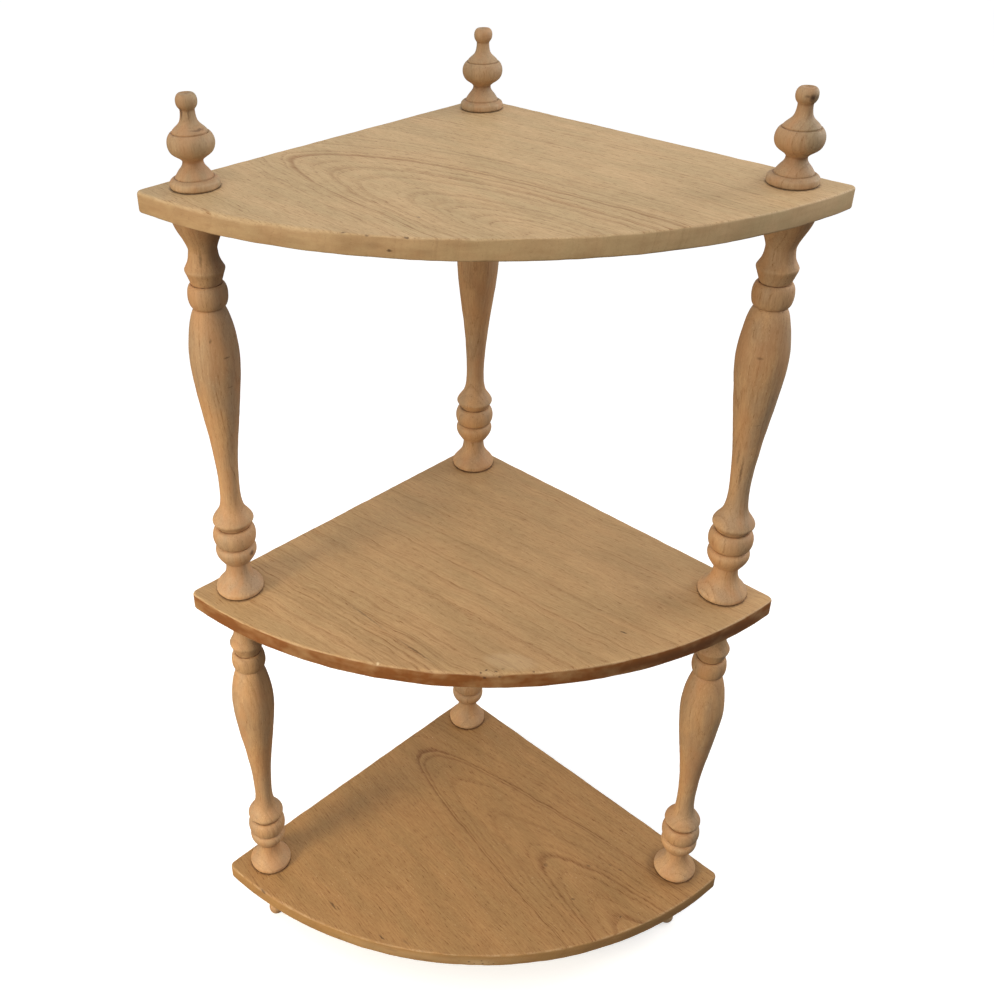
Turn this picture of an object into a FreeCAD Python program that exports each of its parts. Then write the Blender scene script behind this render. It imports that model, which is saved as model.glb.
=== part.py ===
import FreeCAD, Part
import math
import os

# Three-tier corner shelf: quarter-round boards on turned posts, in millimetres.
# +Z is up, the curved front faces -Y and the back corner points to +Y. The origin is on the
# floor, at the middle of the shelf's outline seen from above.

# Boards
side = 350.0              # straight back edge, from the sharp corner to the sharp tip
front_bulge = 97.0        # how far the curved front stands out past the line between the tips
board_thickness = 15.0
corner_radius = 3.0       # back corner, seen from above
tip_radius = 6.0          # the two front tips, seen from above
arris_radius = 1.5        # softened edges of the top and bottom faces

# Heights
tier_pitch = 353.5        # from the top of one board to the top of the next
finial_height = 64.0
foot_height = 67.0

# Post places on a board
post_inset = 24.0         # post axis from the nearest back edge
tip_inset = 36.0          # post axis from the tip, measured along the back edge

# Dowel pins and the holes that take them
pin_diameter = 10.0
pin_chamfer = 1.0
pin_clearance = 0.1       # all round, between a pin and its hole
pin_end_gap = 1.0         # glue space between a pin's end and the bottom of its socket
spindle_socket_depth = 20.0
turned_end_socket_depth = 13.0
drill_point_share = 0.6   # height of the drill's cone against the hole's radius

# Spindle, from its foot up
bell_diameter = 40.0      # both ends
bell_round = 2.0          # rounded rim of a bell
bell_band_height = 4.6    # rim and straight side of a bell
bell_height = 30.2
neck_diameter = 19.6
cup_ledge = 2.2           # step from the neck out to the cup above it
cup_diameter = 34.2
cup_height = 17.1
groove_diameter = 26.0
ring_diameter = 35.9
ring_height = 17.7
collar_diameter = 33.8
collar_cone_height = 6.5
collar_band_height = 1.6
collar_cove_height = 28.5
stem_diameter = 16.5
vase_diameter = 38.3
upper_groove_diameter = 22.4
upper_ring_diameter = 30.0
upper_ring_height = 18.4
upper_collar_diameter = 29.8
upper_collar_cone_height = 10.8
upper_collar_band_height = 0.9
upper_collar_cove_height = 14.7
upper_neck_diameter = 21.2
upper_bell_height = 30.6

# Finial and foot, from the face that meets the board
drum_diameter = 35.2
drum_round = 1.5
drum_band_height = 3.6    # rounded rim and straight side of the drum
drum_height = 7.2
shoulder_diameter = 28.4
shoulder_step = 0.6       # step in from the shoulder to the cone above it
waist_height = 18.6
waist_diameter = 14.6
bulb_diameter = 33.0
bulb_height = 19.4        # from the waist up to the line turned in the bulb
bulb_line_diameter = 27.0
bulb_line_step = 0.7
throat_diameter = 10.3
knob_diameter = 15.0
knob_height = 10.7
knob_flat_diameter = 10.0
dimple_diameter = 6.4     # mark that the lathe's centre leaves in a finial's top
dimple_depth = 0.7

# Turned curves: share of the member's height, then share of its change in radius
bell_shares = [(0.07, 0.11), (0.28, 0.53), (0.56, 0.89), (0.80, 0.98)]
collar_cove_shares = [(0.19, 0.38), (0.33, 0.685), (0.50, 0.865), (0.72, 0.965)]
vase_rise_shares = [(0.20, 0.075), (0.41, 0.29), (0.61, 0.572), (0.81, 0.837)]
vase_fall_shares = [(0.32, 0.08), (0.53, 0.23), (0.73, 0.445), (0.90, 0.73)]
vase_rise_height_share = 0.73
upper_cove_shares = [(0.17, 0.30), (0.42, 0.70), (0.69, 0.91)]
upper_bell_shares = [(0.10, 0.07), (0.37, 0.38), (0.61, 0.72), (0.80, 0.92)]
shoulder_shares = [(0.35, 0.10), (0.70, 0.47)]
cone_shares = [(0.25, 0.26), (0.47, 0.56), (0.68, 0.86), (0.86, 0.985)]
throat_shares = [(0.13, 0.175), (0.295, 0.54), (0.46, 0.82), (0.65, 0.945), (0.85, 0.995)]

# Turned swells: share of the member's height, then share of its largest radius
cup_shares = [(0.18, 0.815), (0.40, 0.94), (0.63, 1.0), (0.80, 0.985), (0.93, 0.90)]
bulb_shares = [(0.08, 0.525), (0.175, 0.68), (0.305, 0.873), (0.485, 0.982), (0.69, 1.0), (0.85, 0.95)]
knob_shares = [(0.065, 0.76), (0.25, 0.93), (0.49, 1.0), (0.72, 0.97), (0.88, 0.86)]

# A ring's section is a half circle, fuller than round by this power
ring_fullness_share = 0.85
ring_steps = 8

cut_overrun = 1.0
match_tolerance = 0.001

# Sizes and places that follow
half_root = math.sqrt(0.5)
up = FreeCAD.Vector(0, 0, 1)
axis_foot = FreeCAD.Vector(0, 0, 0)
corner_cut = corner_radius * (math.sqrt(2) - 1)
back_corner_y = (side * half_root + front_bulge + corner_cut) / 2
tip_x = side * half_root
tip_y = back_corner_y - side * half_root
hole_radius = pin_diameter / 2 + pin_clearance
spindle_height = tier_pitch - board_thickness

post_along = side - tip_inset
post_x = (post_along - post_inset) * half_root
post_y = back_corner_y - (post_along + post_inset) * half_root
post_places = {
    "left": FreeCAD.Vector(-post_x, post_y, 0),
    "right": FreeCAD.Vector(post_x, post_y, 0),
    "back": FreeCAD.Vector(0, back_corner_y - 2 * post_inset * half_root, 0),
}

bottom_shelf_level = foot_height
middle_shelf_level = bottom_shelf_level + tier_pitch
top_shelf_level = middle_shelf_level + tier_pitch


class TurnedOutline:
    """Half section of a turning, drawn from its foot up in radius and height."""

    def __init__(self, foot_radius):
        self.edges = []
        self.radius = 0
        self.height = 0
        self.line_to(foot_radius, 0)

    def line_to(self, radius, height):
        foot = FreeCAD.Vector(self.radius, 0, self.height)
        self.edges.append(Part.LineSegment(foot, FreeCAD.Vector(radius, 0, height)).toShape())
        self.radius, self.height = radius, height

    def round_to(self, radius, height, centre_radius, centre_height):
        """Quarter circle about a centre."""
        centre = FreeCAD.Vector(centre_radius, 0, centre_height)
        start = FreeCAD.Vector(self.radius, 0, self.height)
        end = FreeCAD.Vector(radius, 0, height)
        middle = centre + (start - centre + end - centre) * half_root
        self.edges.append(Part.Arc(start, middle, end).toShape())
        self.radius, self.height = radius, height

    def curve_to(self, points):
        """One smooth curve through points of radius and height."""
        places = [FreeCAD.Vector(self.radius, 0, self.height)]
        places += [FreeCAD.Vector(radius, 0, height) for radius, height in points]
        curve = Part.BSplineCurve()
        curve.interpolate(places)
        self.edges.append(curve.toShape())
        self.radius, self.height = points[-1]

    def sweep_points(self, end_radius, rise, shares):
        change = end_radius - self.radius
        points = [(self.radius + change * part, self.height + rise * share) for share, part in shares]
        return points + [(end_radius, self.height + rise)]

    def sweep(self, end_radius, rise, shares):
        """Smooth curve whose points share out its rise and its change in radius."""
        self.curve_to(self.sweep_points(end_radius, rise, shares))

    def swell(self, end_radius, rise, largest_radius, shares):
        """Smooth curve whose points share out its rise and its largest radius."""
        points = [(largest_radius * part, self.height + rise * share) for share, part in shares]
        self.curve_to(points + [(end_radius, self.height + rise)])

    def ring(self, largest_radius, rise):
        """Rounded ring that ends at the radius it starts from."""
        points = []
        for step in range(1, ring_steps):
            turn = math.pi * step / ring_steps
            stand_out = (largest_radius - self.radius) * math.sin(turn) ** ring_fullness_share
            points.append((self.radius + stand_out, self.height + rise * (1 - math.cos(turn)) / 2))
        self.curve_to(points + [(self.radius, self.height + rise)])

    def solid(self):
        self.line_to(0, self.height)
        self.line_to(0, 0)
        return Part.Face(Part.Wire(self.edges)).revolve(axis_foot, up, 360)


def socket(depth):
    """Drilled hole that goes up from the plane z = 0 and ends in the drill's cone."""
    bore = Part.makeCylinder(hole_radius, depth + cut_overrun, up * -cut_overrun, up)
    point = Part.makeCone(hole_radius, 0, hole_radius * drill_point_share, up * depth, up)
    return bore.fuse(point)


def upside_down(shape, height):
    """The same shape turned over between the planes z = 0 and z = height."""
    turned = shape.copy()
    turned.rotate(up * (height / 2), FreeCAD.Vector(1, 0, 0), 180)
    return turned


def fall_points(belly, fall):
    """Points of radius and height from the vase's belly down to the groove above it."""
    belly_radius, belly_height = belly
    change = upper_groove_diameter / 2 - belly_radius
    points = [(belly_radius + change * part, belly_height + fall * share) for share, part in vase_fall_shares]
    return points + [(belly_radius + change, belly_height + fall)]


def spindle():
    lower_members = (bell_height + cup_height + ring_height + collar_cone_height
                     + collar_band_height + collar_cove_height)
    upper_members = (upper_ring_height + upper_collar_cone_height + upper_collar_band_height
                     + upper_collar_cove_height + upper_bell_height)
    vase_height = spindle_height - lower_members - upper_members
    vase_rise = vase_height * vase_rise_height_share
    bell_radius = bell_diameter / 2

    outline = TurnedOutline(bell_radius - bell_round)
    outline.round_to(bell_radius, bell_round, bell_radius - bell_round, bell_round)
    outline.line_to(bell_radius, bell_band_height)
    outline.sweep(neck_diameter / 2, bell_height - bell_band_height, bell_shares)

    # Cup and ring, with a groove between them
    outline.line_to(neck_diameter / 2 + cup_ledge, bell_height)
    outline.swell(groove_diameter / 2, cup_height, cup_diameter / 2, cup_shares)
    outline.ring(ring_diameter / 2, ring_height)

    # Collar, whose cove runs up into the stem
    outline.line_to(collar_diameter / 2, outline.height + collar_cone_height)
    outline.line_to(collar_diameter / 2, outline.height + collar_band_height)
    outline.sweep(stem_diameter / 2, collar_cove_height, collar_cove_shares)

    # Vase, one curve from the stem over its belly to the upper groove
    belly = outline.sweep_points(vase_diameter / 2, vase_rise, vase_rise_shares)
    outline.curve_to(belly + fall_points(belly[-1], vase_height - vase_rise))

    # Upper ring and collar
    outline.ring(upper_ring_diameter / 2, upper_ring_height)
    outline.line_to(upper_collar_diameter / 2, outline.height + upper_collar_cone_height)
    outline.line_to(upper_collar_diameter / 2, outline.height + upper_collar_band_height)
    outline.sweep(upper_neck_diameter / 2, upper_collar_cove_height, upper_cove_shares)

    # Bell under the board above
    outline.sweep(bell_radius, upper_bell_height - bell_band_height, upper_bell_shares)
    outline.line_to(bell_radius, spindle_height - bell_round)
    outline.round_to(bell_radius - bell_round, spindle_height,
                     bell_radius - bell_round, spindle_height - bell_round)

    hole = socket(spindle_socket_depth)
    return outline.solid().cut(hole).cut(upside_down(hole, spindle_height))


def turned_end(height, dimpled):
    """Finial that stands on the plane z = 0. A foot is the same turning with a longer throat."""
    drum_radius = drum_diameter / 2
    throat_height = height - waist_height - bulb_height - knob_height

    outline = TurnedOutline(drum_radius - drum_round)
    outline.round_to(drum_radius, drum_round, drum_radius - drum_round, drum_round)
    outline.line_to(drum_radius, drum_band_height)
    outline.sweep(shoulder_diameter / 2, drum_height - drum_band_height, shoulder_shares)
    outline.line_to(shoulder_diameter / 2 - shoulder_step, drum_height)
    outline.sweep(waist_diameter / 2, waist_height - drum_height, cone_shares)
    outline.swell(bulb_line_diameter / 2, bulb_height, bulb_diameter / 2, bulb_shares)
    outline.line_to(bulb_line_diameter / 2 - bulb_line_step, outline.height)
    outline.sweep(throat_diameter / 2, throat_height, throat_shares)
    outline.swell(knob_flat_diameter / 2, knob_height, knob_diameter / 2, knob_shares)

    solid = outline.solid().cut(socket(turned_end_socket_depth))
    if dimpled:
        dimple_floor = up * (height - dimple_depth)
        solid = solid.cut(Part.makeCylinder(dimple_diameter / 2, dimple_depth + cut_overrun, dimple_floor, up))
    return solid


def upright_edges(solid, place):
    """Edges of a plain board that stand over a place of its outline."""
    found = []
    for edge in solid.Edges:
        start, end = edge.Vertexes[0].Point, edge.Vertexes[-1].Point
        offset = math.hypot(start.x - place.x, start.y - place.y)
        if offset < match_tolerance and abs(end.z - start.z) > match_tolerance:
            found.append(edge)
    return found


def board():
    """Quarter-round board whose underside is the plane z = 0."""
    back_corner = FreeCAD.Vector(0, back_corner_y, 0)
    left_tip = FreeCAD.Vector(-tip_x, tip_y, 0)
    right_tip = FreeCAD.Vector(tip_x, tip_y, 0)
    front_middle = FreeCAD.Vector(0, tip_y - front_bulge, 0)
    outline = Part.Wire([
        Part.LineSegment(right_tip, back_corner).toShape(),
        Part.LineSegment(back_corner, left_tip).toShape(),
        Part.Arc(left_tip, front_middle, right_tip).toShape(),
    ])
    solid = Part.Face(outline).extrude(up * board_thickness)
    solid = solid.makeFillet(corner_radius, upright_edges(solid, back_corner))
    for tip in (left_tip, right_tip):
        solid = solid.makeFillet(tip_radius, upright_edges(solid, tip))
    level_edges = [edge for edge in solid.Edges if edge.BoundBox.ZLength < match_tolerance]
    solid = solid.makeFillet(arris_radius, level_edges)

    for place in post_places.values():
        hole_foot = place - up * cut_overrun
        hole_length = board_thickness + 2 * cut_overrun
        solid = solid.cut(Part.makeCylinder(hole_radius, hole_length, hole_foot, up))
    return solid


def pin(socket_below, socket_above):
    """Chamfered dowel through a board whose underside is the plane z = 0."""
    low = pin_end_gap - socket_below
    high = board_thickness + socket_above - pin_end_gap
    dowel = Part.makeCylinder(pin_diameter / 2, high - low, up * low, up)
    rims = [edge for edge in dowel.Edges if edge.BoundBox.ZLength < match_tolerance]
    return dowel.makeChamfer(pin_chamfer, rims)


def place_board(name, level):
    pieces[name] = board()
    pieces[name].translate(up * level)


def place_at_posts(name, shape, level):
    """One copy of a piece on each of the three post axes."""
    for post, place in post_places.items():
        copy = shape.copy()
        copy.translate(place + up * level)
        pieces[name + "_" + post] = copy


pieces = {}

place_board("bottom_shelf", bottom_shelf_level)
place_board("middle_shelf", middle_shelf_level)
place_board("top_shelf", top_shelf_level)

place_at_posts("foot", upside_down(turned_end(foot_height, False), foot_height), 0)
place_at_posts("lower_spindle", spindle(), bottom_shelf_level + board_thickness)
place_at_posts("upper_spindle", spindle(), middle_shelf_level + board_thickness)
place_at_posts("finial", turned_end(finial_height, True), top_shelf_level + board_thickness)

place_at_posts("foot_pin", pin(turned_end_socket_depth, spindle_socket_depth), bottom_shelf_level)
place_at_posts("middle_pin", pin(spindle_socket_depth, spindle_socket_depth), middle_shelf_level)
place_at_posts("top_pin", pin(spindle_socket_depth, turned_end_socket_depth), top_shelf_level)

os.makedirs("parts", exist_ok=True)
for name, shape in pieces.items():
    if not shape.isValid() or len(shape.Solids) != 1:
        raise ValueError(name + " is not one sound solid")
    shape.Solids[0].exportStep("parts/" + name + ".step")
    print(name, round(shape.Volume), "cubic millimetres")
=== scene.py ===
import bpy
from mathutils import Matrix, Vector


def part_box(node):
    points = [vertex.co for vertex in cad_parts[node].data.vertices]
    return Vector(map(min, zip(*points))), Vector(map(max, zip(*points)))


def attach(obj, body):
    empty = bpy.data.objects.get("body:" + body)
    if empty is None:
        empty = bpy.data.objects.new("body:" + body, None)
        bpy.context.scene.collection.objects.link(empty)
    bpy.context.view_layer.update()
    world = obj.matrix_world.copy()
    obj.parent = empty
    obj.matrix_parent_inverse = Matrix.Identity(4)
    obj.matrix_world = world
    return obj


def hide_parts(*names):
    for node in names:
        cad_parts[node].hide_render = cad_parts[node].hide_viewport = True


bl_info = {
    "name": "Corner Shelf",
    "version": (1, 0, 0),
    "blender": (4, 5, 0),
    "location": "3D View > Sidebar > Shelf",
    "description": "Dresses a three-tier corner shelf of bare sanded hardwood",
    "category": "Object",
}

import math
from functools import partial

import bmesh
import bpy
import numpy as np
from mathutils import Matrix, Vector, noise
from mathutils.geometry import delaunay_2d_cdt

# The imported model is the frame: everything here takes its place from it, in metres
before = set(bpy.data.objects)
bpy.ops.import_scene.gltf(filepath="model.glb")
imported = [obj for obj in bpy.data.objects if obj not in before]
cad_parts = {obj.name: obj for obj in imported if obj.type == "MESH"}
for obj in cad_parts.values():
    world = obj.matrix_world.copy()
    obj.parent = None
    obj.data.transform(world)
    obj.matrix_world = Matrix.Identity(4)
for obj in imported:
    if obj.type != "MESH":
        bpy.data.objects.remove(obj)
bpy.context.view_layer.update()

MM = 0.001
POSTS = ("left", "right", "back")
BOARDS = ("bottom_shelf", "middle_shelf", "top_shelf")
SPINDLES = ("lower_spindle", "upper_spindle")
PINS = ("foot_pin", "middle_pin", "top_pin")


def linear_colour(code):
    """sRGB hex code as the linear colour that Blender's sockets take."""
    channels = [int(code[start:start + 2], 16) / 255 for start in (1, 3, 5)]
    linear = [c / 12.92 if c <= 0.04045 else ((c + 0.055) / 1.055) ** 2.4 for c in channels]
    return (*linear, 1.0)


def add_node(tree, kind, inputs=(), **settings):
    """Adds a node, sets what it is set to, and links or fills its inputs.

    kind is the node's type without its prefix, and the operation after it where the type has them. Inputs
    are a list in the order of the sockets, or a dictionary by name or number. A node among them stands
    for the first output that it has in use.
    """
    kind, *operation = kind.split()
    types = ["ShaderNode" + kind, "GeometryNode" + kind, kind]
    node = tree.nodes.new(next(name for name in types if hasattr(bpy.types, name)))
    if operation:
        node.operation = operation[0]
    for name, value in settings.items():
        setattr(node, name, value)
    for name, value in inputs.items() if isinstance(inputs, dict) else enumerate(inputs):
        if isinstance(value, bpy.types.Node):
            value = next(output for output in value.outputs if output.enabled)
        if isinstance(value, bpy.types.NodeSocket):
            tree.links.new(value, node.inputs[name])
        else:
            node.inputs[name].default_value = value
    return node


def empty_tree(holder):
    """Turns on the nodes of a material or a world, and clears them."""
    holder.use_nodes = True
    holder.node_tree.nodes.clear()
    return holder.node_tree


def set_ramp(node, stops):
    """Gives a Color Ramp grey stops of place and value, in order."""
    elements = node.color_ramp.elements
    while len(elements) > 1:
        elements.remove(elements[-1])
    elements[0].position = stops[0][0]
    for number, (place, value) in enumerate(stops):
        element = elements[0] if number == 0 else elements.new(place)
        element.color = (value, value, value, 1.0)


def post_place(post):
    """Post axis on the floor."""
    low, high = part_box("lower_spindle_" + post)
    return Vector(((low.x + high.x) / 2, (low.y + high.y) / 2, 0))


# Figure of each piece of wood, in millimetres. The growth rings are cones about the heart of the tree:
# heart_across is where the heart lies across the grain, heart_depth how far under the face it is at the
# middle, dip how fast it rises to the face along the grain, taper the tree's own taper, lopsided how
# much tighter the rings lie on one side, wander how far they bend, and wave how far the whole grain
# waves. Marked rings are the few dark ones: distance from the heart, strength and width. Rings and pores
# say how dark the early wood and the pores show, contrast how strong the fine texture is, and
# side_stain and end_stain how much old finish is left on the edges along and across the grain.
FIGURES = {
    "top_shelf": dict(
        grain_angle=-46, heart_across=-102, heart_depth=50.3, dip=0.30, taper=0,
        lopsided=0.45, ring_spacing=4.6, wander=3, wave=5, rings=0.70,
        pores=0.95, contrast=1.3, side_stain=0.36, end_stain=0,
        marked_rings=[(35.5, 0.35, 0.8), (42.8, 0.35, 0.8), (57.8, 0.35, 0.9), (66.2, 0.6, 1),
                      (80, 1, 1.2), (93, 0.35, 1), (104, 0.3, 1)],
    ),
    "middle_shelf": dict(
        grain_angle=-39, heart_across=330, heart_depth=60, dip=0.05, taper=0,
        lopsided=0, ring_spacing=6.5, wander=5, wave=8, rings=0.62,
        pores=0.75, contrast=1.2, side_stain=1, end_stain=1,
        marked_rings=[(400, 0.3, 0.8), (428, 0.3, 0.8), (446, 0.6, 0.8), (457, 0.5, 0.9),
                      (470, 0.7, 0.8), (478, 0.5, 0.8), (487, 0.6, 0.8), (497, 0.5, 0.8),
                      (510, 0.6, 0.9), (521, 0.5, 0.8)],
    ),
    "bottom_shelf": dict(
        grain_angle=-48, heart_across=16.5, heart_depth=70, dip=0.06, taper=0.06,
        lopsided=0.12, ring_spacing=3.4, wander=1.5, wave=5, rings=0.66,
        pores=1.1, contrast=1.4, side_stain=0, end_stain=0.05,
        marked_rings=[(48, 0.5, 0.6), (58.6, 0.9, 0.6), (66.8, 0.5, 0.6), (74.3, 0.3, 0.6),
                      (80.3, 0.8, 0.5), (81.6, 0.7, 0.5), (93, 0.4, 0.7)],
    ),
    "turnings": dict(
        grain_angle=0, heart_across=-62, heart_depth=12, dip=0.01, taper=0.02,
        lopsided=0, ring_spacing=4.2, wander=2.5, wave=4, rings=0.45, pores=0.60,
        contrast=1.1,
        marked_rings=[(60, 0.2, 0.8), (72, 0.3, 0.8)],
    ),
    "pins": dict(
        grain_angle=0, heart_across=-45, heart_depth=20, dip=0, taper=0,
        lopsided=0, ring_spacing=2.6, wander=0.8, wave=0, rings=0.25, pores=0.20,
        contrast=1,
        marked_rings=[(46, 0.3, 0.5), (50, 0.3, 0.5)],
    ),
}

# Marks on the pieces: knots, worm holes, cracks, ticks and stains of age, and a few broad darker and
# paler places that are painted shade and painted light. Each has its place and its half sizes in
# millimetres, its turn seen from above in degrees, its strength, and the share of its size over which
# its rim fades. A pale place has a strength below zero.
MARKS = {
    "top_shelf": [
        ((-94.6, -158, 788), (2.4, 1, 2), 0, 0.7, 0.5),
        ((-55, -166.5, 788), (2, 1, 1.5), -20, 0.7, 0.5),
        ((-80, -162.5, 788.5), (1.5, 0.9, 1.2), 0, 0.5, 0.5),
        ((-65.7, -165, 779.6), (2.4, 2, 1.2), 0, 0.8, 0.5),
        ((-48.4, -131, 789), (2.4, 0.9, 1), -50, 0.6, 0.5),
        ((-76, -163, 782), (9, 4, 3.4), 0, 0.16, 0.8), ((-42, -168, 780), (7, 4, 3), 0, 0.14, 0.8),
    ],
    "middle_shelf": [
        ((-93, -105, 435.5), (34, 1.2, 1.2), -46, 0.50, 0.9),
        ((-52.6, -145.6, 435.5), (32, 1.2, 1.2), -43, 0.55, 0.9),
        # Broad painted shade: the middle board darker towards its front and towards its right
        ((20, -142, 435.5), (150, 36, 2), 4, 0.09, 0.9),
        ((150, -40, 435.5), (90, 60, 2), -40, 0.12, 0.9),
        ((115.7, -120.5, 435.5), (3.6, 1, 1), -29, 0.85, 0.5),
        ((8, -167, 434), (17, 11, 6), 0, 0.14, 0.9), ((22, -157, 435.5), (24, 11, 3), -8, -0.20, 0.35),
        ((-82, -161, 435), (1.6, 2, 1.6), 0, -0.9, 0.6),
        ((-1.1, -170.2, 436), (1.7, 2, 1.5), 0, 0.9, 0.5),
        ((1.6, -170.4, 431.6), (2, 2, 1.4), 0, 0.9, 0.5),
        ((6.1, -170.3, 428.4), (1.6, 2, 1.2), 20, 0.7, 0.5),
        ((13.7, -170.1, 432.5), (2.2, 2, 1.1), 0, 0.8, 0.5),
        ((3, -167, 435.5), (1.8, 1, 1), 40, 0.8, 0.5),
        ((10.5, -168.2, 435.5), (2.4, 1, 1.2), -25, 0.8, 0.5),
        ((16, -165.5, 435.5), (1.8, 0.9, 1), 10, 0.6, 0.5),
        ((39.9, -168.2, 436), (1.6, 1.5, 1.5), 0, 0.8, 0.5),
        # More painted shade towards the right, about the right post
        ((189, -52, 435.5), (36, 30, 2), -40, 0.10, 0.9),
        # Painted shade on the right part of the front edge, which faces away from the key lamp
        ((165, -124, 427), (108, 18, 7.6), 26, 0.75, 0.9),
        ((-165, -124, 427), (100, 18, 7.6), -26, 0.14, 0.9),
    ],
    "bottom_shelf": [
        ((-136.7, -120.5, 82), (8, 1.2, 1), -51, 0.75, 0.6),
        ((-131, -123.5, 82), (5, 0.8, 1), -51, 0.45, 0.6),
        ((-87, -154.3, 82), (4.6, 1.1, 1), -39, 0.8, 0.5),
        ((-207.8, -105.7, 81), (6, 1.2, 2), -50, 0.7, 0.6),
        ((-64, -158.6, 82), (6.5, 2.2, 1), -37, 0.35, 0.8),
        ((99.3, -106.8, 82), (2.6, 1.6, 1), 0, 0.6, 0.6), ((76, -67.4, 82), (3.6, 3, 1), 0, 0.45, 0.8),
        ((119, -67.2, 82), (3.2, 1.8, 1), -30, 0.5, 0.7),
        ((143.6, -125.7, 82), (1.1, 1.1, 1), 0, 0.8, 0.5),
        ((150.1, -71.5, 82), (2.6, 1, 1), -37, 0.5, 0.6),
        ((140.9, -65.7, 82), (2.6, 1, 1), -37, 0.5, 0.6),
        ((-79.7, -161.6, 70.3), (1.5, 2, 1.3), 0, 0.8, 0.5),
        ((-128.4, -147, 70.3), (2, 2, 1.6), 0, 0.8, 0.5),
        ((-43, -167.8, 70.5), (10, 4, 2), 6, 0.35, 0.8), ((-74, -162, 76), (12, 4, 2.4), 6, 0.22, 0.8),
        ((-3.9, -170.4, 73), (2.3, 2, 1.3), 0, 0.9, 0.5),
        ((0.9, -170.4, 70.2), (1.6, 2, 1.2), 0, 0.85, 0.5),
        ((-7.7, -170.3, 69.4), (1.6, 2, 1.1), 0, 0.8, 0.5),
        ((8, -170.3, 74.8), (1.9, 2, 1.5), 0, 0.9, 0.5),
        ((8.9, -170.3, 70.4), (1.8, 2, 1.3), 0, 0.9, 0.5),
        ((14.5, -170.1, 73), (1.2, 2, 0.9), 0, 0.75, 0.5),
        ((19.1, -169.9, 70.4), (1.5, 2, 1.1), 0, 0.8, 0.5),
        ((-13, -170.2, 73.6), (1.2, 2, 0.9), 0, 0.6, 0.5), ((4, -170.2, 72), (26, 5, 7), 0, -0.48, 0.8),
        # Painted light: a paler band along the left part and middle of the bottom board's front edge
        ((-50, -163, 74), (140, 17, 7.5), -6, -0.24, 0.9),
        ((203.5, -67, 82), (28.5, 28.5, 1.5), 0, 0.26, 0.16),
        # A dark streak beside the left lower post
        ((-196, -84, 82), (17, 3, 1.5), -52, 0.35, 0.8),
        # Painted shade on the right part of the front edge, which faces away from the key lamp
        ((168, -122, 73.5), (100, 18, 7.6), 26, 0.30, 0.9),
    ],
    "turnings": [
        ((-190.4, -74.8, 478.1), (3.4, 3.4, 2.8), 0, 0.75, 0.7),
        ((-192, -81.2, 662.8), (4, 3, 0.8), 0, 0.55, 0.6),
        ((-203.3, -83.4, 677.7), (1.2, 2, 2.8), 0, 0.5, 0.7),
        ((-192.6, -78.9, 637.3), (4, 3, 0.6), 0, 0.4, 0.7),
        ((198, -83.6, 664), (3.4, 3, 1.4), 0, 0.45, 0.7),
        ((206.4, -80.1, 605.7), (4, 3, 0.6), 0, 0.4, 0.7),
        ((201.6, -74.5, 560.1), (1.2, 3, 20), 0, 0.6, 0.8),
        ((197.8, -73.4, 573.4), (0.9, 3, 14), 0, 0.45, 0.8),
        ((-205.3, -77.2, 738.7), (1.4, 3, 9), 0, 0.5, 0.8),
    ],
    "finials": [
        ((206.8, -73.2, 847.5), (3, 3, 3.2), 0, 0.9, 0.7),
        ((210, -72, 847.4), (2.6, 3, 2.4), 0, 0.5, 0.8),
        ((203.4, -73.4, 848.2), (2.8, 3, 1.4), 0, 0.55, 0.8),
        ((-208.4, -70.6, 841), (1.3, 2.5, 6), 0, 0.8, 0.7),
        ((-203.4, -71, 840), (0.9, 2.5, 5), 0, 0.5, 0.8),
        # A dark line in the upper groove of the left finial's bulb, on its right side
        ((-197.1, -72.9, 829.9), (9, 7, 0.8), 0, 0.55, 0.6),
    ],
    "pins": [],
}

# Places where the front arris of a board is worn further: how far along x, over what width, and how
# much more, in millimetres
WORN_ARRIS = {
    "top_shelf": [(-178, 46, 2.2), (-120, 20, 0.8), (30, 30, -0.6)],
    "middle_shelf": [(6, 13, 3.4), (-84, 9, 1.2), (-40, 12, 1.3), (-150, 22, 0.8), (60, 30, 0.6)],
    "bottom_shelf": [(-190, 26, 1.4), (-90, 30, 0.4), (10, 18, 0.5)],
}


def amount(name, description, default, **shown):
    """Setting that is one number."""
    return bpy.props.FloatProperty(name=name, description=description, default=default, **shown)


def metres(name, description, default):
    """Setting that is a length."""
    return amount(name, description, default, unit="LENGTH", subtype="DISTANCE")


def degrees(name, description, default):
    """Setting that is an angle."""
    return amount(name, description, math.radians(default), subtype="ANGLE")


def amounts(name, description, default, **shown):
    """Setting of several numbers."""
    return bpy.props.FloatVectorProperty(name=name, description=description, default=default,
                                         size=len(default), **shown)


def location(name, description, default):
    """Setting that is a place."""
    return amounts(name, description, default, unit="LENGTH", subtype="TRANSLATION")


def tint(name, code, description):
    """Setting that is a colour, given as an sRGB hex code."""
    return amounts(name, description, linear_colour(code), subtype="COLOR")


class BoardSettings(bpy.types.PropertyGroup):
    """Sizes of the three quarter-round boards."""

    side: metres("Straight edge", "Back corner to tip, before the corners are rounded", 0.350)
    front_bulge: metres("Front bulge",
                        "How far the curved front stands out past the line between the tips", 0.097)
    corner_radius: metres("Back corner radius", "Rounding of the back corner, seen from above", 0.003)
    tip_radius: metres("Tip radius", "Rounding of the two front tips, seen from above", 0.006)
    least_arris: metres("Least arris", "Smallest rounding that the sanding gave the edges", 0.0008)
    most_arris: metres("Most arris", "Largest rounding that the sanding gave the edges", 0.0022)
    outline_step: metres("Outline step", "Distance between the points of the outline", 0.0018)


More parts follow.
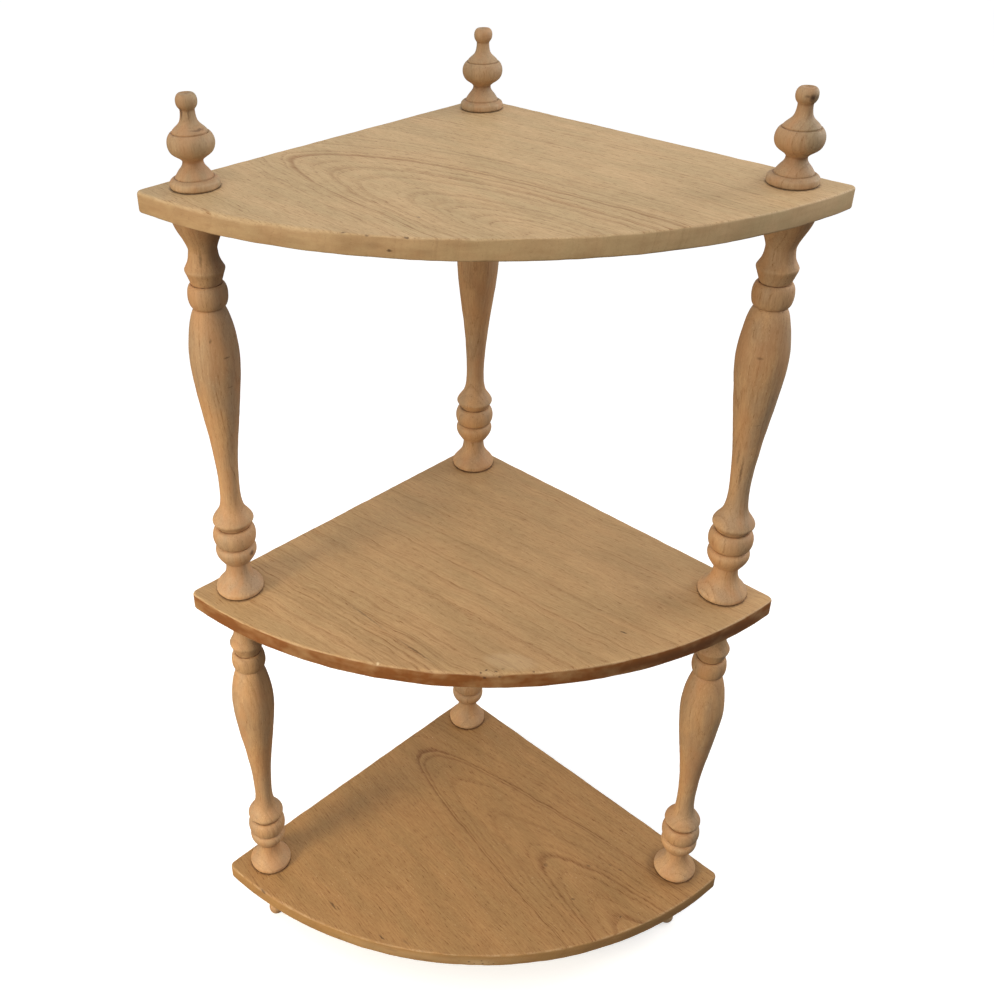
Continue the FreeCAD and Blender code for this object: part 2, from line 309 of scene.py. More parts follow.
class TurningSettings(bpy.types.PropertyGroup):
    """How finely the turned pieces are made, and how far they are from a perfect round."""

    segments: bpy.props.IntProperty(
        name="Segments", description="Faces around a turned piece", default=80, min=12)
    ring_step: metres("Ring step", "Distance between the rings of faces, along the outline", 0.0008)
    line_depth: metres("Line depth", "Depth of the fine lines cut into the inner corners", 0.0008)
    sanding: metres("Sanding", "How far hand sanding took the surface off a perfect round", 0.0005)
    hole_clearance: metres("Hole clearance", "Room between a pin and its hole, all round", 0.0001)
    end_gap: metres("End gap", "Glue space past the end of a pin", 0.001)


class WoodSettings(bpy.types.PropertyGroup):
    """Colours of the wood."""

    top_board: tint("Top board", "#D3B181", "Plain sanded wood of the top board")
    # The middle and bottom boards are darker and more orange than the top: partly the wood's own colour,
    # partly painted shade from the boards above them
    middle_board: tint("Middle board", "#C9A16E", "Plain sanded wood of the middle board")
    bottom_board: tint("Bottom board", "#B18651", "Plain sanded wood of the bottom board")
    turning: tint("Turnings", "#CBA171", "Plain sanded wood of the turned pieces")
    turning_other: tint("Turnings, second tone", "#B59672", "Greyer patches of the turned pieces")
    # The finials' darker, greyer colours are partly their own wood and partly painted shade, standing in
    # for less lamp light at the top of the shelf
    finial: tint("Finials", "#B8976F", "Plain sanded wood of the finials")
    finial_other: tint("Finials, second tone", "#A48E6B", "Greyer patches of the finials")
    edge_finish: tint("Edge finish", "#AC8048", "What the amber old finish takes from the boards' edges")
    early_stain: tint("Early wood", "#A88452", "What pores and early wood take from the plain colour")
    # Bare wood is also the colour of the painted highlight along the arrises and of painted light on the
    # bottom board's front edge
    bare: tint("Bare wood", "#DCC096", "Wood rubbed clean on arrises and ridges")
    old_finish: tint("Old finish", "#6B4426", "Reddish finish that the sanding left in the grooves")
    thin_finish: tint("Thin finish", "#B88456", "Thin reddish finish left in patches on the turnings")
    # The dark marks mix in this colour, the painted shade among them as well as real dirt
    dirt_and_shade: tint("Dirt", "#42270F", "Dark inside of holes, cracks and stains")
    dowel: tint("Dowel", "#D8BF92", "Plain dowel rod")
    dowel_other: tint("Dowel, second tone", "#C8AA7A", "Darker streaks of the dowel rod")


class StudioSettings(bpy.types.PropertyGroup):
    """Camera, lamps and floor."""

    camera_place: location("Camera place", "Where the camera stands", (-0.0342, -0.8215, 1.0340))
    camera_turn: degrees("Camera turn", "How far the view is turned left of the +Y axis", 3.075)
    camera_tilt: degrees("Camera tilt", "How far the view looks down", 31.454)
    camera_roll: degrees("Camera roll", "Clockwise roll of the camera", 1.327)
    lens: amount("Lens", "Focal length on a 36 mm sensor", 40.37, unit="CAMERA")
    shift_right: amount("Shift right", "How far right the frame lies off centre, as a share of it", 0.1093)
    shift_up: amount("Shift up", "How far up the frame lies off centre, as a share of it", -0.0446)
    key_place: location("Key lamp place", "Soft lamp in front on the left", (-1.25, -0.95, 0.72))
    key_power: amount("Key lamp power", "Power of the key lamp", 4.4, unit="POWER")
    key_colour: amounts("Key lamp colour", "Slightly warm light", (1.0, 0.87, 0.66), subtype="COLOR")
    key_spread: degrees("Key lamp spread", "Opening of the grid in front of the key lamp", 80)
    fill_place: location("Fill lamp place", "Weak cool lamp behind on the right", (1.5, 0.5, 1.3))
    fill_power: amount("Fill lamp power", "Power of the fill lamp", 2.9, unit="POWER")
    fill_spread: degrees("Fill lamp spread", "Opening of the grid in front of the fill lamp", 80)
    window_place: location("Window place", "Wide cool lamp high in front", (-0.15, -1.05, 2.75))
    window_power: amount("Window power", "Power of the wide lamp", 15.5, unit="POWER")
    ambient: amount("Ambient light", "Strength of the light from all round", 0.57)
    ambient_colour: amounts("Ambient colour", "Slightly cool light from all round", (0.98, 1.0, 1.04, 1.0),
                            subtype="COLOR")


class ShelfSettings(bpy.types.PropertyGroup):
    """All settings of the corner shelf."""

    boards: bpy.props.PointerProperty(type=BoardSettings)
    turnings: bpy.props.PointerProperty(type=TurningSettings)
    wood: bpy.props.PointerProperty(type=WoodSettings)
    studio: bpy.props.PointerProperty(type=StudioSettings)


# Wood


def stretched_noise(tree, place, sizes, detail, roughness=0.5):
    """Noise whose spots have three sizes in millimetres: along the grain, across it and through it."""
    scaled = add_node(tree, "VectorMath MULTIPLY", [place, [1 / size for size in sizes]])
    return add_node(tree, "TexNoise", {
        "Vector": scaled, "Scale": 1.0, "Detail": detail, "Roughness": roughness})


def grain_streaks(tree, place, length, width, detail=2.0):
    """Uneven streaks along the grain, of a length and a width in millimetres, as a value about 0.5."""
    return stretched_noise(tree, place, (length, width, width), detail, 0.6)


def rise(tree, value, low, high, most=1.0):
    """Goes from nothing to its most while the value goes from low to high."""
    return add_node(tree, "MapRange", {"Value": value, "From Min": low, "From Max": high, "To Max": most})


def weighed_sum(tree, parts, start=0.0):
    """Adds up values by their weights, and keeps the sum between nothing and one."""
    total = start
    for value, weight in parts:
        total = add_node(tree, "Math MULTIPLY_ADD", [value, weight, total])
    total.use_clamp = True
    return total


def mark_shade(tree, marks):
    """The strongest of the marks at each point of a piece, with ragged rims."""
    add = partial(add_node, tree)
    here = add("VectorMath SCALE", {0: add("TexCoord").outputs["Object"], "Scale": 1 / MM})
    ragged = add("TexNoise", {"Vector": here, "Scale": 1 / 3, "Detail": 2.0}).outputs["Color"]
    # The noise moves each point by up to about a millimetre, so that no mark is a neat oval
    moved = add("VectorMath MULTIPLY_ADD", [ragged, (2.0, 2.0, 2.0), here])
    strongest = 0.0
    for place, half_sizes, turn, strength, fade in marks:
        inside = add("Mapping", {
            "Vector": moved, "Location": [part + 1.0 for part in place],
            "Rotation": (0, 0, math.radians(turn)), "Scale": half_sizes}, vector_type="TEXTURE")
        share = rise(tree, add("VectorMath LENGTH", [inside]), 1.0, 1.0 - fade, abs(strength))
        strongest = add("Math MAXIMUM", [share, strongest])
    return strongest


def ring_shade(tree, place, figure):
    """Darkness of the growth rings, of the few dark rings, and of the early wood.

    place is in millimetres, with the grain along its first axis.
    """
    add = partial(add_node, tree)
    # Slow bends of the grain, and a finer waver on top, both far slower through the thickness
    slow = stretched_noise(tree, place, (110, 42, 150), 1.0).outputs["Color"]
    fine = stretched_noise(tree, place, (16, 6, 30), 3.0).outputs["Color"]
    bend = figure["wander"] * 2
    bent = add("VectorMath MULTIPLY_ADD", [slow, (0, bend, bend), place])
    wavy = add("VectorMath MULTIPLY_ADD", [fine, (0, 2.0, 0.6), bent])
    centred = add("VectorMath SUBTRACT", [wavy, (0, bend / 2 + 1.0, bend / 2 + 0.3)])
    along, across, level = add("SeparateXYZ", [centred]).outputs

    # Distance from the heart, as a cone
    sideways = add("Math ADD", [across, -figure["heart_across"]])
    wider = add("Math MULTIPLY", [sideways, 1 + figure["lopsided"]])
    spread = add("Math MULTIPLY_ADD", [add("Math ABSOLUTE", [sideways]), -figure["lopsided"], wider])
    under = add("Math ADD", [level, figure["heart_depth"]])
    depth = add("Math MULTIPLY_ADD", [along, -figure["dip"], under])
    from_heart = add("VectorMath LENGTH", [add("CombineXYZ", [spread, depth])])
    distance = add("Math MULTIPLY_ADD", [along, -figure["taper"], from_heart])

    # Rings of uneven width and strength
    uneven = add("TexNoise", {"W": distance, "Scale": 1 / 16, "Detail": 1.0}, noise_dimensions="1D")
    even = add("Math DIVIDE", [distance, figure["ring_spacing"]])
    count = add("Math MULTIPLY_ADD", [uneven, 2.2, even])
    early = add("ValToRGB", [add("Math FRACT", [count])])
    set_ramp(early, [(0.0, 1.0), (0.12, 0.85), (0.28, 0.30), (0.55, 0.06), (0.93, 0.0), (1.0, 0.9)])
    own = add("TexWhiteNoise", {"W": add("Math FLOOR", [count])}, noise_dimensions="1D")
    rings = add("Math MULTIPLY", [early, add("Math POWER", [own, 2.0])])

    # The few dark rings
    first = figure["marked_rings"][0][0] - 4
    last = figure["marked_rings"][-1][0] + 6
    stops = []
    for radius, darkness, width in figure["marked_rings"]:
        for offset, share in ((-width, 0.0), (0.0, darkness), (width * 2.2, 0.0)):
            stops.append(((radius + offset - first) / (last - first), share))
    marked = add("ValToRGB", [rise(tree, distance, first, last)])
    set_ramp(marked, sorted(stops))
    return rings, marked, early


def wood_material(name, figure, marks, place, base, other, wood, sanded_arris=None, groove=None):
    """Bare hardwood, ring-porous, turned or planed and then sanded by hand through an old finish.

    The eye gets a matt, slightly mottled tan with pores as short dark dashes along the grain, darker
    early wood in lines, paler arrises, partly rubbed clean and partly a painted highlight, and the reddish
    remains of the finish in the grooves.
    place gives millimetres, with the grain along the first axis.
    """
    material = bpy.data.materials.new(name)
    tree = empty_tree(material)
    add = partial(add_node, tree)
    # The grain waves a little, so that no streak is straight
    straight = place(tree)
    wave = stretched_noise(tree, straight, (30, 16, 60), 1.0).outputs["Color"]
    sway = add("VectorMath SUBTRACT", [wave, (0.5, 0.5, 0.5)])
    place = add("VectorMath MULTIPLY_ADD", [sway, (0, figure["wave"], 0), straight])
    rings, marked, early = ring_shade(tree, place, figure)
    streaks = partial(grain_streaks, tree, place)

    # Lines fade in and out along the grain and from one part of the piece to another
    calm = rise(tree, streaks(160, 70, 1.0), 0.36, 0.62)
    broken = rise(tree, streaks(15, 1.1, 3.0), 0.36, 0.62)
    faded = add("Math MULTIPLY_ADD", [calm, 0.7, 0.3])
    shown = add("Math MULTIPLY", [add("Math MULTIPLY_ADD", [broken, 0.75, 0.25]), faded])
    ring_lines = add("Math MULTIPLY", [rings, shown])
    marked_lines = add("Math MULTIPLY", [marked, add("Math MULTIPLY_ADD", [broken, 0.5, 0.5])])

    # Pores, drawn 0.6 mm wide where the real ones are about 0.3 mm, so that they show
    long_pores = rise(tree, streaks(7, 0.6), 0.55, 0.70)
    short_pores = rise(tree, streaks(2.6, 0.7, 1.0), 0.60, 0.72)
    pores = add("Math MULTIPLY", [long_pores, add("Math MULTIPLY_ADD", [early, 0.75, 0.25])])
    flecks = rise(tree, streaks(3.5, 1.0, 1.0), 0.64, 0.74)

    contrast = figure["contrast"]
    shade = weighed_sum(tree, [
        (ring_lines, figure["rings"]), (marked_lines, 0.62), (pores, figure["pores"]),
        (short_pores, 0.14 * contrast), (flecks, -0.14 * contrast),
        (streaks(15, 1.3, 3.0), 0.60 * contrast), (streaks(120, 9), 0.22 * contrast),
        (streaks(60, 40, 3.0), 0.20 * contrast)], 0.20 - 0.51 * contrast)

    # Layers of colour over the base, each where its value says: first a second tone of the wood, and
    # sanding dust in single pores here and there, drawn twice as wide as it is, so that it shows
    tone = rise(tree, streaks(90, 24), 0.38, 0.62)
    dusty = rise(tree, streaks(2.6, 0.9, 1.0), 0.66, 0.76, 0.6)
    dust = add("Math MULTIPLY", [dusty, rise(tree, streaks(38, 26, 1.0), 0.44, 0.60)])
    layers = [(tone, other, "MIX"), (dust, wood.bare, "MIX")]
    if sanded_arris:
        # Old finish left on the edges of a board, most of it in the thirsty end grain
        normal = add("NewGeometry").outputs["Normal"]
        turn = math.radians(figure["grain_angle"])
        endwise = add("Math ABSOLUTE", [add("VectorMath DOT_PRODUCT", [
            normal, (math.cos(turn), math.sin(turn), 0)])])
        level = add("Math ABSOLUTE", [add("SeparateXYZ", [normal]).outputs["Z"]])
        upright = rise(tree, level, 0.75, 0.25)
        # Sanding across the grain closed most of its pores
        shade = add("Math MULTIPLY", [shade, add("Math MULTIPLY_ADD", [upright, -0.7, 1.0])])
        patchy = rise(tree, streaks(34, 22, 3.0), 0.05, 0.60)
        more_at_ends = figure["end_stain"] - figure["side_stain"]
        stained = weighed_sum(tree, [(rise(tree, endwise, 0.50, 0.97), more_at_ends)], figure["side_stain"])
        # and smears of it along the edges
        smears = rise(tree, stretched_noise(tree, place, (20, 20, 5), 2.0), 0.40, 0.72, 0.18)
        stained = add("Math MULTIPLY_ADD", [stained, patchy, smears], use_clamp=True)
        stained = add("Math MULTIPLY", [stained, upright])
        arris = add("Attribute", attribute_name=sanded_arris).outputs["Fac"]
        # Paler half way round each arris: partly rubbed clean, partly a painted highlight
        worn_and_highlit = add("Math MULTIPLY", [rise(tree, streaks(12, 12), 0.40, 0.58, 0.28), arris])
        layers += [(stained, wood.edge_finish, "MULTIPLY"), (worn_and_highlit, wood.bare, "MIX")]
    # The stain of early wood and pores
    layers.append((shade, wood.early_stain, "MULTIPLY"))
    if groove:
        recess = add("Attribute", attribute_name=groove).outputs["Fac"]
        corner = add("Attribute", attribute_name="inner_corner").outputs["Fac"]
        uneven = streaks(7, 5)
        filled = weighed_sum(tree, [(rise(tree, recess, 0.4 * MM, 2.4 * MM), 0.55),
                                    (rise(tree, corner, 0.10 * MM, 0.45 * MM), 0.75)])
        left = add("Math MULTIPLY", [filled, rise(tree, uneven, 0.25, 0.60, 0.9)])
        remains = rise(tree, streaks(48, 16), 0.44, 0.64, 0.45)
        rubbed = add("Math MULTIPLY", [
            rise(tree, recess, -0.4 * MM, -1.8 * MM), rise(tree, uneven, 0.66, 0.40, 0.45)])
        layers += [(left, wood.old_finish, "MIX"), (remains, wood.thin_finish, "MIX"),
                   (rubbed, wood.bare, "MIX")]
    # Pale and dark marks: most are real, a few are painted light and painted shade
    pale = mark_shade(tree, [mark for mark in marks if mark[3] < 0])
    dark = mark_shade(tree, [mark for mark in marks if mark[3] > 0])
    layers += [(pale, wood.bare, "MIX"), (dark, wood.dirt_and_shade, "MIX")]
    colour = base
    for share, coat, blend in layers:
        colour = add("Mix", {0: share, 6: colour, 7: coat}, data_type="RGBA", blend_type=blend)

    relief = weighed_sum(tree, [(shade, 0.6), (dark, 0.3)])
    bump = add("Bump", {"Height": relief, "Strength": 0.6, "Distance": 0.15 * MM}, invert=True)
    bsdf = add("BsdfPrincipled", {"Base Color": colour, "Roughness": 0.68, "IOR": 1.5, "Normal": bump})
    add("OutputMaterial", {"Surface": bsdf})
    return material


def board_place(figure, face_height):
    """Object coordinates in millimetres, turned so that the grain runs along the first axis."""
    def nodes(tree):
        return add_node(tree, "Mapping", {
            "Vector": add_node(tree, "TexCoord").outputs["Object"], "Scale": (1 / MM,) * 3,
            "Rotation": (0, 0, -math.radians(figure["grain_angle"])),
            "Location": (0, 0, -face_height / MM)})
    return nodes


def turning_place(tree):
    """The place that the lathe stored on each turning, in millimetres, with its length first."""
    stored = add_node(tree, "Attribute", attribute_name="wood_place").outputs["Vector"]
    return add_node(tree, "VectorMath SCALE", {0: stored, "Scale": 1 / MM})


def pin_place(tree):
    """Object coordinates in millimetres, with the height first."""
    parts = add_node(tree, "SeparateXYZ", [add_node(tree, "TexCoord").outputs["Object"]]).outputs
    swapped = add_node(tree, "CombineXYZ", [parts["Z"], parts["X"], parts["Y"]])
    return add_node(tree, "VectorMath SCALE", {0: swapped, "Scale": 1 / MM})


# Boards


def fillet_arc(centre, radius, start, end, step):
    """Points of an arc between two angles, the last one left out."""
    count = max(4, round(abs(end - start) * radius / step))
    angles = [start + (end - start) * number / count for number in range(count)]
    return [(centre[0] + radius * math.cos(a), centre[1] + radius * math.sin(a),
             math.cos(a), math.sin(a)) for a in angles]


def straight_run(start, end, normal, step):
    """Points of a straight run, the last one left out."""
    across, up = end[0] - start[0], end[1] - start[1]
    count = round(math.hypot(across, up) / step)
    return [(start[0] + across * n / count, start[1] + up * n / count, *normal) for n in range(count)]


def board_outline(settings, back_y):
    """The quarter-round outline, counterclockwise from the right tip: place and outward normal."""
    root = math.sqrt(0.5)
    tip = settings.tip_radius
    bend = settings.corner_radius
    corner = back_y + bend * (math.sqrt(2) - 1)
    tip_x = settings.side * root
    front_radius = (tip_x ** 2 + settings.front_bulge ** 2) / (2 * settings.front_bulge)
    front_y = corner - tip_x - settings.front_bulge + front_radius

    # Centre of a tip's rounding: inside the straight edge and inside the front curve
    inside = root * corner - tip - root * front_y
    along = math.sqrt((front_radius - tip) ** 2 - inside ** 2)
    x, y = root * (inside + along), front_y + root * (inside - along)
    tip_turn = math.atan2(y - front_y, x)
    back = corner - bend * math.sqrt(2)

    quarter = math.pi / 4
    step = settings.outline_step
    fine = step / 3
    points = fillet_arc((x, y), tip, tip_turn, quarter, fine)
    points += straight_run((x + tip * root, y + tip * root), (bend * root, back + bend * root),
                           (root, root), step)
    points += fillet_arc((0, back), bend, quarter, 3 * quarter, fine)
    points += straight_run((-bend * root, back + bend * root), (-x - tip * root, y + tip * root),
                           (-root, root), step)
    points += fillet_arc((-x, y), tip, 3 * quarter, math.pi - tip_turn, fine)
    points += fillet_arc((0, front_y), front_radius, -math.pi - tip_turn, tip_turn, step)
    return points


def board_face(rim, holes, grid_step):
    """Flat face between a rim and its holes: points and triangles of their numbers."""
    points = []
    edges = []
    for loop in (rim, *holes):
        edges += [(len(points) + n, len(points) + (n + 1) % len(loop)) for n in range(len(loop))]
        points += [Vector(p) for p in loop]
    edge_points = len(points)
    low_x, high_x = min(p.x for p in points), max(p.x for p in points)
    low_y, high_y = min(p.y for p in points), max(p.y for p in points)
    x = low_x
    while x < high_x:
        y = low_y
        while y < high_y:
            points.append(Vector((x, y)))
            y += grid_step
        x += grid_step
    found, _, faces, sources, _, _ = delaunay_2d_cdt(points, edges, [], 2, 1e-7)
    return found, faces, sources, edge_points


def board_rows(name, settings, seed):
    """A section over the edge, from the top face down, at each point of the outline: places, and paleness
    from rubbing and painted highlight.
    """
    low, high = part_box(name)
    arris_steps = 5
    widest = 4.6 * MM
    ledge = 0.7 * MM
    patch = 26 * MM
    rows = []
    for x, y, normal_x, normal_y in board_outline(settings, high.y):
        rows.append([])
        # The back corner is tighter than the arris at its widest, so the arris narrows towards it
        room = 1.6 * MM + 0.25 * (high.y - y)
        for height, turn in ((high.z, 1), (low.z, -1)):
            spot = Vector((x, y, seed + turn)) / patch
            wave = 0.5 + 0.6 * noise.noise(spot) + 0.35 * noise.noise(spot * 3.5)
            arris = settings.least_arris
            arris += (settings.most_arris - settings.least_arris) * max(0, min(1, wave))
            if turn == 1 and normal_y < 0:
                arris += sum(extra * MM * math.exp(-((x / MM - place) / width) ** 2)
                             for place, width, extra in WORN_ARRIS[name])
            arris = min(arris, room, widest)
            section = []
            for number in range(arris_steps + 1):
                angle = math.pi / 2 * number / arris_steps
                # The third value, highest half way round the arris, is how pale it is drawn: partly rubbed
                # clean, partly a painted highlight
                section.append((arris * (1 - math.sin(angle)),
                                height - turn * arris * (1 - math.cos(angle)), math.sin(2 * angle)))
            section.insert(0, (section[0][0] + ledge, height, 0.0))
            rows[-1] += [(x - normal_x * inset, y - normal_y * inset, z, wear_and_highlight)
                         for inset, z, wear_and_highlight in section[::turn]]
    return rows


def board_mesh(name, settings, seed):
    """A board with hand-sanded arrises of uneven width and three holes for the pins."""
    bm = bmesh.new()
    # Each point keeps how pale its arris is drawn, rubbed clean and painted highlight together
    wear_and_highlight_layer = bm.verts.layers.float.new("arris")
    grid = []
    for row in board_rows(name, settings, seed):
        grid.append([])
        for *place, wear_and_highlight in row:
            vertex = bm.verts.new(place)
            vertex[wear_and_highlight_layer] = wear_and_highlight
            grid[-1].append(vertex)
    for number, row in enumerate(grid):
        previous = grid[number - 1]
        for step in range(len(row) - 1):
            bm.faces.new((previous[step], row[step], row[step + 1], previous[step + 1]))

    pin_low, pin_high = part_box("top_pin_left")
    hole_radius = (pin_high.x - pin_low.x) / 2 + 0.1 * MM
    hole_sides = 32
    face_step = 14 * MM
    centres = [post_place(post).xy for post in POSTS]
    turns = [2 * math.pi * n / hole_sides for n in range(hole_sides)]
    holes = [[(centre.x + hole_radius * math.cos(t), centre.y + hole_radius * math.sin(t)) for t in turns]
             for centre in centres]
    hole_rims = []
    for index in (0, -1):
        rim = [row[index] for row in grid]
        found, faces, sources, edge_points = board_face([v.co.xy for v in rim], holes, face_step)
        vertices = []
        hole_vertices = {}
        for point, source in zip(found, sources):
            if source and source[0] < len(rim):
                vertices.append(rim[source[0]])
            else:
                vertices.append(bm.verts.new((point.x, point.y, rim[0].co.z)))
                if source and source[0] < edge_points:
                    hole_vertices[source[0]] = vertices[-1]
        hole_rims.append([hole_vertices[n] for n in range(len(rim), edge_points)])
        for face in faces:
            corners = [vertices[n] for n in face]
            middle = sum((vertex.co for vertex in corners), Vector()) / len(corners)
            if all((middle.xy - centre).length > hole_radius for centre in centres):
                bm.faces.new(corners)
    top, bottom = hole_rims
    for first in range(len(top)):
        # The next point on the same hole's rim
        second = first - first % hole_sides + (first + 1) % hole_sides
        bm.faces.new((top[first], top[second], bottom[second], bottom[first]))
    loose = [vertex for vertex in bm.verts if not vertex.link_faces]
    bmesh.ops.delete(bm, geom=loose, context="VERTS")
    bmesh.ops.recalc_face_normals(bm, faces=bm.faces)
    mesh = bpy.data.meshes.new("sanded_" + name)
    bm.to_mesh(mesh)
    bm.free()
    mesh.polygons.foreach_set("use_smooth", [True] * len(mesh.polygons))
    return mesh


def contact_finish_and_shade(name):
    """Dark line around the foot of each piece that stands on a board: partly old finish and grime, partly
    painted contact shade.
    """
    standing = {"top_shelf": "finial_", "middle_shelf": "upper_spindle_", "bottom_shelf": "lower_spindle_"}
    marks = []
    for post in POSTS:
        low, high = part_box(standing[name] + post)
        centre = post_place(post) / MM
        reach = (high.x - low.x) / 2 / MM + 1.5
        marks.append(((centre.x, centre.y - 0.7, low.z / MM), (reach, reach, 1.5), 0, 0.75, 0.10))
    return marks


def add_object(name, data):
    """Puts a new object in the scene."""
    made = bpy.data.objects.new(name, data)
    bpy.context.scene.collection.objects.link(made)
    return made


def add_piece(name, mesh, material, nodes):
    """Puts a finished piece in the scene in place of its CAD nodes."""
    piece = add_object(name, mesh)
    mesh.materials.clear()
    mesh.materials.append(material)
    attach(piece, "root")
    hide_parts(*nodes)


class SHELF_OT_boards(bpy.types.Operator):
    """Make the three boards"""

    bl_idname = "shelf.boards"
    bl_label = "Boards"

    def execute(self, context):
        settings = context.scene.shelf
        seed_step = 3.7
        for number, name in enumerate(BOARDS):
            figure = FIGURES[name]
            face_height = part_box(name)[1].z
            mesh = board_mesh(name, settings.boards, number * seed_step)
            # For the middle and bottom boards this colour is partly painted shade from the boards above
            colour = getattr(settings.wood, name.replace("shelf", "board"))
            # The second tone is a little darker and a trace less red
            other = [channel * share for channel, share in zip(colour, (0.90, 0.93, 0.92, 1.0))]
            material = wood_material("sanded_hardwood_" + name, figure, MARKS[name] + contact_finish_and_shade(name),
                                     board_place(figure, face_height), colour, other, settings.wood,
                                     sanded_arris="arris")
            add_piece("sanded_" + name, mesh, material, [name])
        return {"FINISHED"}


# Turnings


def outside_of(name):
    """Radius and height of a turned piece's outside, from its foot up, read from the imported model."""
    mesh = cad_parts[name].data
    low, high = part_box(name)
    axis = np.array([(low.x + high.x) / 2, (low.y + high.y) / 2])
    # Only the corners of faces that look outwards, so that the pin sockets are left out
    read = {}
    for parts, value, kind in ((mesh.vertices, "co", float), (mesh.polygons, "normal", float),
                               (mesh.polygons, "center", float), (mesh.loops, "vertex_index", int)):
        flat = np.empty(len(parts) * (3 if kind is float else 1), dtype=kind)
        parts.foreach_get(value, flat)
        read[value] = flat.reshape(-1, 3)
    outward = np.einsum("ij,ij->i", read["normal"][:, :2], read["center"][:, :2] - axis)
    kept = read["co"][np.unique(read["vertex_index"][outward > 0.2 * MM])]
    radii = np.hypot(kept[:, 0] - axis[0], kept[:, 1] - axis[1])
    heights = np.round(kept[:, 2] - low.z, 5)

    # One point at each height, or two where the turning steps in or out
    points = []
    least_step = 0.3 * MM
    for height in np.unique(heights):
        here = radii[heights == height]
        ends = [here.min(), here.max()] if np.ptp(here) > 0.1 * MM else [here.mean()]
        if points and len(ends) == 2 and abs(ends[1] - points[-1][0]) < abs(ends[0] - points[-1][0]):
            ends.reverse()
        for radius in ends:
            away = math.hypot(radius - points[-1][0], height - points[-1][1]) if points else 1
            if away > least_step or height == heights.max():
                points.append((radius, height))
    return points, Vector((axis[0], axis[1], low.z)), high.z - low.z


def pin_hole(post, height, settings):
    """Radius of the pin hole at a height of a post, and how far the pin goes below and above it."""
    for kind in PINS:
        low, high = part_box(kind + "_" + post)
        if low.z < height < high.z:
            radius = (high.x - low.x) / 2 + settings.hole_clearance
            return radius, height - low.z + settings.end_gap, high.z - height + settings.end_gap
    return None


def cut_lines(outside, settings):
    """Sinks a fine line, as the point of the turner's tool leaves, into each sharp inner corner."""
    points = [outside[0]]
    corners = [True]
    sharp = math.sin(math.radians(38))
    for before, here, after in zip(outside, outside[1:], outside[2:]):
        coming = (Vector(here) - Vector(before)).normalized()
        going = (Vector(after) - Vector(here)).normalized()
        if coming.x * going.y - coming.y * going.x < -sharp:
            half = settings.line_depth * 0.8
            bottom = Vector(here) + (coming - going).normalized() * settings.line_depth
            points += [tuple(Vector(here) - coming * half), tuple(bottom),
                       tuple(Vector(here) + going * half)]
            corners += [True] * 3
        else:
            points.append(here)
            corners.append(False)
    return points + [outside[-1]], corners + [True]


def turned_section(name, post, settings):
    """Whole half section of a turned piece with its pin holes: points and which of them are corners."""
    outside, place, length = outside_of(name)
    points, corners = cut_lines(outside, settings)
    below = pin_hole(post, place.z, settings)
    above = pin_hole(post, place.z + length, settings)
    first = [(0, 0)]
    last = [(0, length)]
    if below:
        radius, _, depth = below
        first = [(0, depth + radius * 0.6), (radius, depth), (radius, 0)]
    if above:
        radius, depth, _ = above
        last = [(radius, length), (radius, length - depth), (0, length - depth - radius * 0.6)]
    elif "finial" in name:
        dimple = 3.2 * MM
        bottom = length - 0.7 * MM
        last = [(dimple, length), (dimple - 0.3 * MM, bottom), (0, bottom)]
    points = first + points + last
    corners = [True] * len(first) + corners + [True] * len(last)
    sharp = math.radians(35)
    for number in range(1, len(points) - 1):
        before = Vector(points[number]) - Vector(points[number - 1])
        after = Vector(points[number + 1]) - Vector(points[number])
        if before.angle(after, 0) > sharp:
            corners[number] = True
    return points, corners, place


